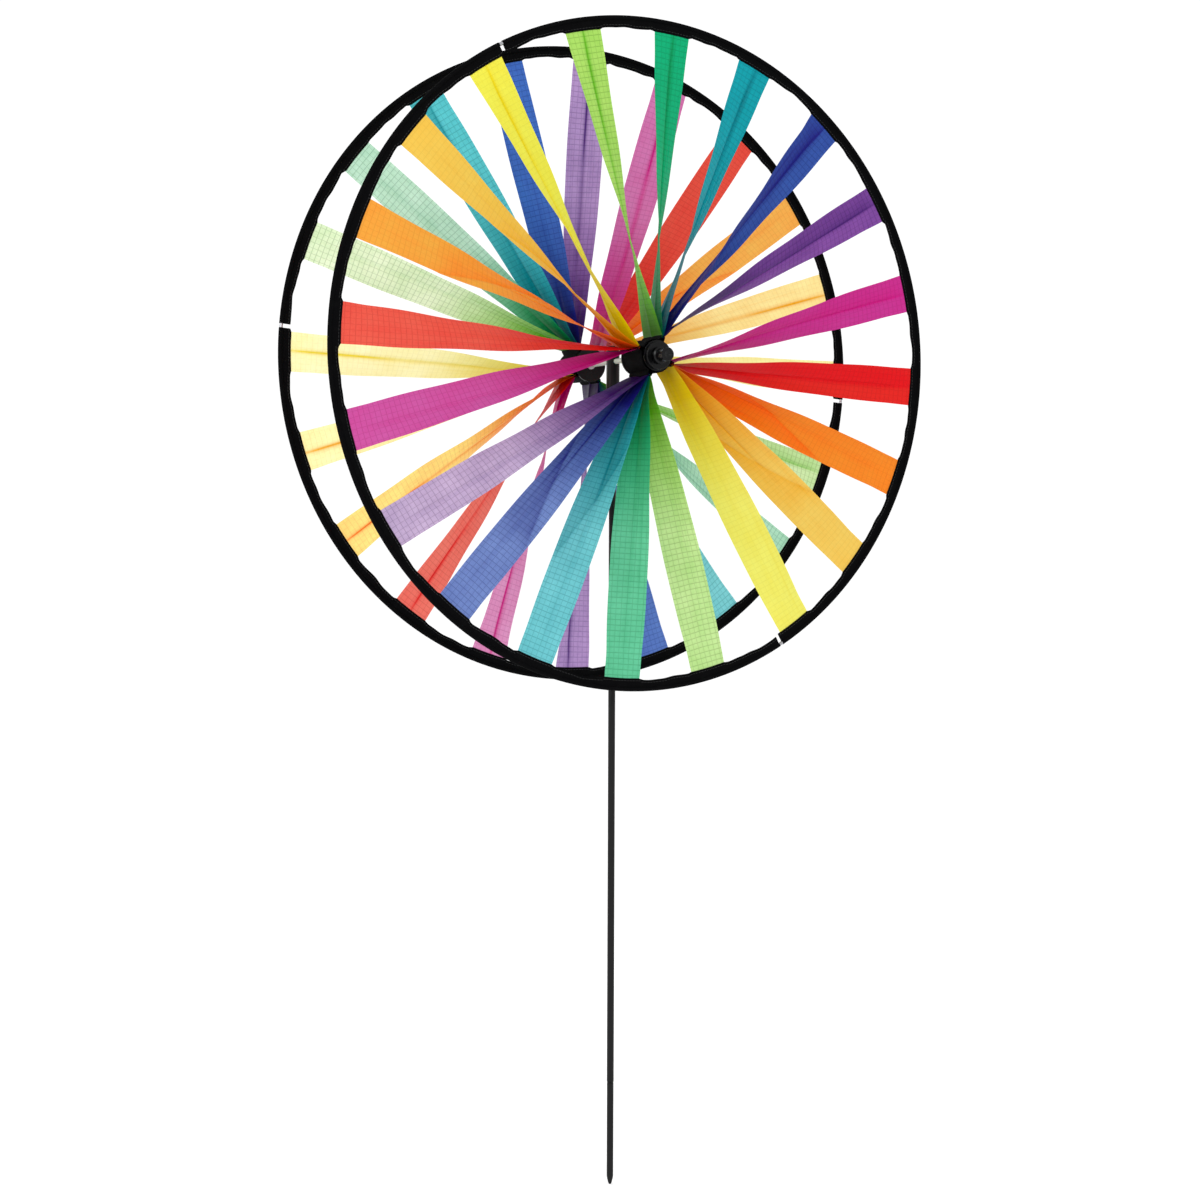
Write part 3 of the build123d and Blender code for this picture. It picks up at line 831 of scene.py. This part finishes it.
def make_hub_sleeve(wheel, dice, tape, thread):
    """Black fabric sleeve round the barrel, with four tabs that hold the blades' roots."""
    low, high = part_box(f"{wheel}_hub_band")
    centre = Vector((0, (low.y + high.y) / 2, AXLE_Z))
    length = high.y - low.y
    tabs = tab_angles(wheel)
    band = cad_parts[f"{wheel}_hub_band"].data.vertices
    tab_end = max(math.hypot(v.co.x, v.co.z - AXLE_Z) for v in band)
    outline = sleeve_outline(tabs, tab_end)
    ripples = [(dice.randint(2, 5), dice.uniform(0, PHASE_RANGE)) for _ in range(3)]
    lengths = [0.0]
    for here, there in zip(outline, outline[1:] + outline[:1]):
        lengths.append(lengths[-1] + (there - here).length)
    points = []
    for i in range(SLEEVE_ROWS):
        along = i / (SLEEVE_ROWS - 1)
        roll = EDGE_ROLL * (1 - smooth_step(0.0, 0.07, min(along, 1 - along)))
        across = Vector((0, length * (along - 0.5), 0))
        for spot in outline:
            turn = math.atan2(spot.z, spot.x)
            swell = 0.1 * MM * sum(math.sin(c * turn * 2 + p + 5 * along) for c, p in ripples)
            points.append(centre + spot * (1 + (swell - roll) / spot.length) + across)

    def uv(i, j):
        return (lengths[j], length * i / (SLEEVE_ROWS - 1))

    name = f"{wheel}_hub_sleeve"
    sleeve = add_object(name, grid_mesh(name, points, len(outline), uv, closed=True), tape)
    shell = sleeve.modifiers.new("cloth thickness", "SOLIDIFY")
    shell.thickness = SLEEVE_THICKNESS
    shell.offset = -1.0
    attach(sleeve, f"{wheel}_wheel")
    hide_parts(f"{wheel}_hub_band")
    spots = tab_stitch_spots(centre, length, tabs, tab_end)
    make_stitches(f"{wheel}_tab_stitches", f"{wheel}_wheel", spots, thread)


# ------------------------------------------------------------------ CAD nodes that stay
MATERIAL_OF_PART = {
    "ground_spike": "pole",
    "pole_tube": "pole",
    "head_sleeve": "sleeve",
    "axle_rod": "steel",
    "axle_spacers": "spacer",
    "axle_washers": "steel",
    "axle_end_caps": "hub",
    "hub_spool": "hub",
    "hub_cap": "hub",
    "rim_rods": "rod",
    "rim_ferrules": "ferrule",
}


def finish_cad_nodes(materials):
    """Gives every carried-over CAD node its real material."""
    for node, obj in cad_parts.items():
        first_word, rest = node.split("_", 1)
        part = rest if first_word in WHEELS else node
        if part in MATERIAL_OF_PART:
            obj.data.materials.clear()
            obj.data.materials.append(materials[MATERIAL_OF_PART[part]])


# ------------------------------------------------------------------ stage, light, camera
FLOOR_HALF = 30.0
WORLD_STRENGTH = 1.06


def make_floor():
    corners = [(-FLOOR_HALF, -FLOOR_HALF, 0), (FLOOR_HALF, -FLOOR_HALF, 0)]
    corners += [(FLOOR_HALF, FLOOR_HALF, 0), (-FLOOR_HALF, FLOOR_HALF, 0)]
    mesh = bpy.data.meshes.new("floor")
    mesh.from_pydata(corners, [], [(0, 1, 2, 3)])
    add_object("floor", mesh, floor_material())


def make_world():
    world = bpy.data.worlds.new("studio")
    world.use_nodes = True
    background = world.node_tree.nodes["Background"]
    background.inputs["Color"].default_value = (1.0, 1.0, 1.0, 1.0)
    background.inputs["Strength"].default_value = WORLD_STRENGTH
    bpy.context.scene.world = world


def add_area_light(name, place, size, power):
    """A soft rectangular light that faces the middle of the wheels."""
    light = bpy.data.lights.new(name, "AREA")
    light.shape = "RECTANGLE"
    light.size, light.size_y = size
    light.energy = power
    obj = bpy.data.objects.new(name, light)
    obj.location = place
    aim = Vector((0, 0, AXLE_Z)) - Vector(place)
    obj.rotation_euler = aim.to_track_quat("-Z", "Y").to_euler()
    bpy.context.scene.collection.objects.link(obj)


CAMERA_AZIMUTH = math.radians(-27.12)
CAMERA_ELEVATION = math.radians(2.77)
CAMERA_ROLL = math.radians(0.2)
CAMERA_DISTANCE = 6.026  # in wheel radii, like the next two
CAMERA_RIGHT = -0.04
CAMERA_UP = -0.734
CAMERA_LENS = 58.68


def make_camera():
    """Camera at the wheels' left front, aimed below the axle so that the whole pole is in view."""
    back = Vector(
        (
            math.sin(CAMERA_AZIMUTH) * math.cos(CAMERA_ELEVATION),
            -math.cos(CAMERA_AZIMUTH) * math.cos(CAMERA_ELEVATION),
            math.sin(CAMERA_ELEVATION),
        )
    )
    right = (-back).cross(Vector((0, 0, 1))).normalized()
    up = right.cross(-back)
    tilt_right = right * math.cos(CAMERA_ROLL) + up * math.sin(CAMERA_ROLL)
    tilt_up = up * math.cos(CAMERA_ROLL) - right * math.sin(CAMERA_ROLL)
    place = back * CAMERA_DISTANCE + tilt_right * CAMERA_RIGHT + tilt_up * CAMERA_UP
    data = bpy.data.cameras.new("camera")
    data.sensor_width = 36.0
    data.lens = CAMERA_LENS
    data.clip_end = 100.0
    camera = bpy.data.objects.new("camera", data)
    turn = Matrix((tilt_right, tilt_up, back)).transposed().to_4x4()
    camera.matrix_world = Matrix.Translation(place * RIM_RADIUS + Vector((0, 0, AXLE_Z))) @ turn
    bpy.context.scene.collection.objects.link(camera)
    bpy.context.scene.camera = camera


# ------------------------------------------------------------------ build
make_camera()
make_floor()
make_world()
add_area_light("key", (-1.6, -3.2, 2.0), (1.4, 1.4), 34.0)
add_area_light("fill", (-3.0, -0.6, 1.6), (0.8, 1.6), 14.0)
add_area_light("back", (-1.0, 2.8, 1.6), (2.0, 2.0), 27.0)
bpy.context.scene.view_settings.view_transform = "Standard"

hub_black = moulded_black_material("hub_plastic", linear(2, 2, 3), linear(7, 7, 8), 0.16, 0.3, 900.0)
sleeve_black = moulded_black_material(
    "sleeve_plastic", linear(3, 3, 4), linear(10, 10, 11), 0.3, 0.46, 1200.0
)
finish_cad_nodes(
    {
        "pole": pole_material(),
        "sleeve": sleeve_black,
        "hub": hub_black,
        "steel": drawn_metal_material("steel", linear(190, 190, 194), 0.25, 0.4),
        "ferrule": drawn_metal_material("ferrule_metal", linear(168, 168, 172), 0.2, 0.34),
        "spacer": spacer_material(),
        "rod": spacer_material(),
    }
)
ripstop = {colour: ripstop_material(colour) for colour in RIPSTOP}
tape_black = black_tape_material()
thread_black = thread_material()
FIRST_SEED = 11
for wheel_number, wheel_name in enumerate(WHEELS):
    dice = random.Random(FIRST_SEED + wheel_number)
    # each blade's painted light: above 0 painted sheen, below 0 painted shade
    light_paint = sum(LIGHT_PAINT[wheel_name], ())
    for blade_node, tone, kind in zip(blade_nodes(wheel_name), light_paint, FOLDS[wheel_name]):
        colour = blade_node.rsplit("_", 1)[1]
        make_blade(blade_node, wheel_name, tone, kind, dice, ripstop[colour])
    for half_number, half_start in enumerate(half_starts(wheel_name), start=1):
        make_hem(wheel_name, half_number, half_start, dice, tape_black, thread_black)
    make_hub_sleeve(wheel_name, dice, tape_black, thread_black)
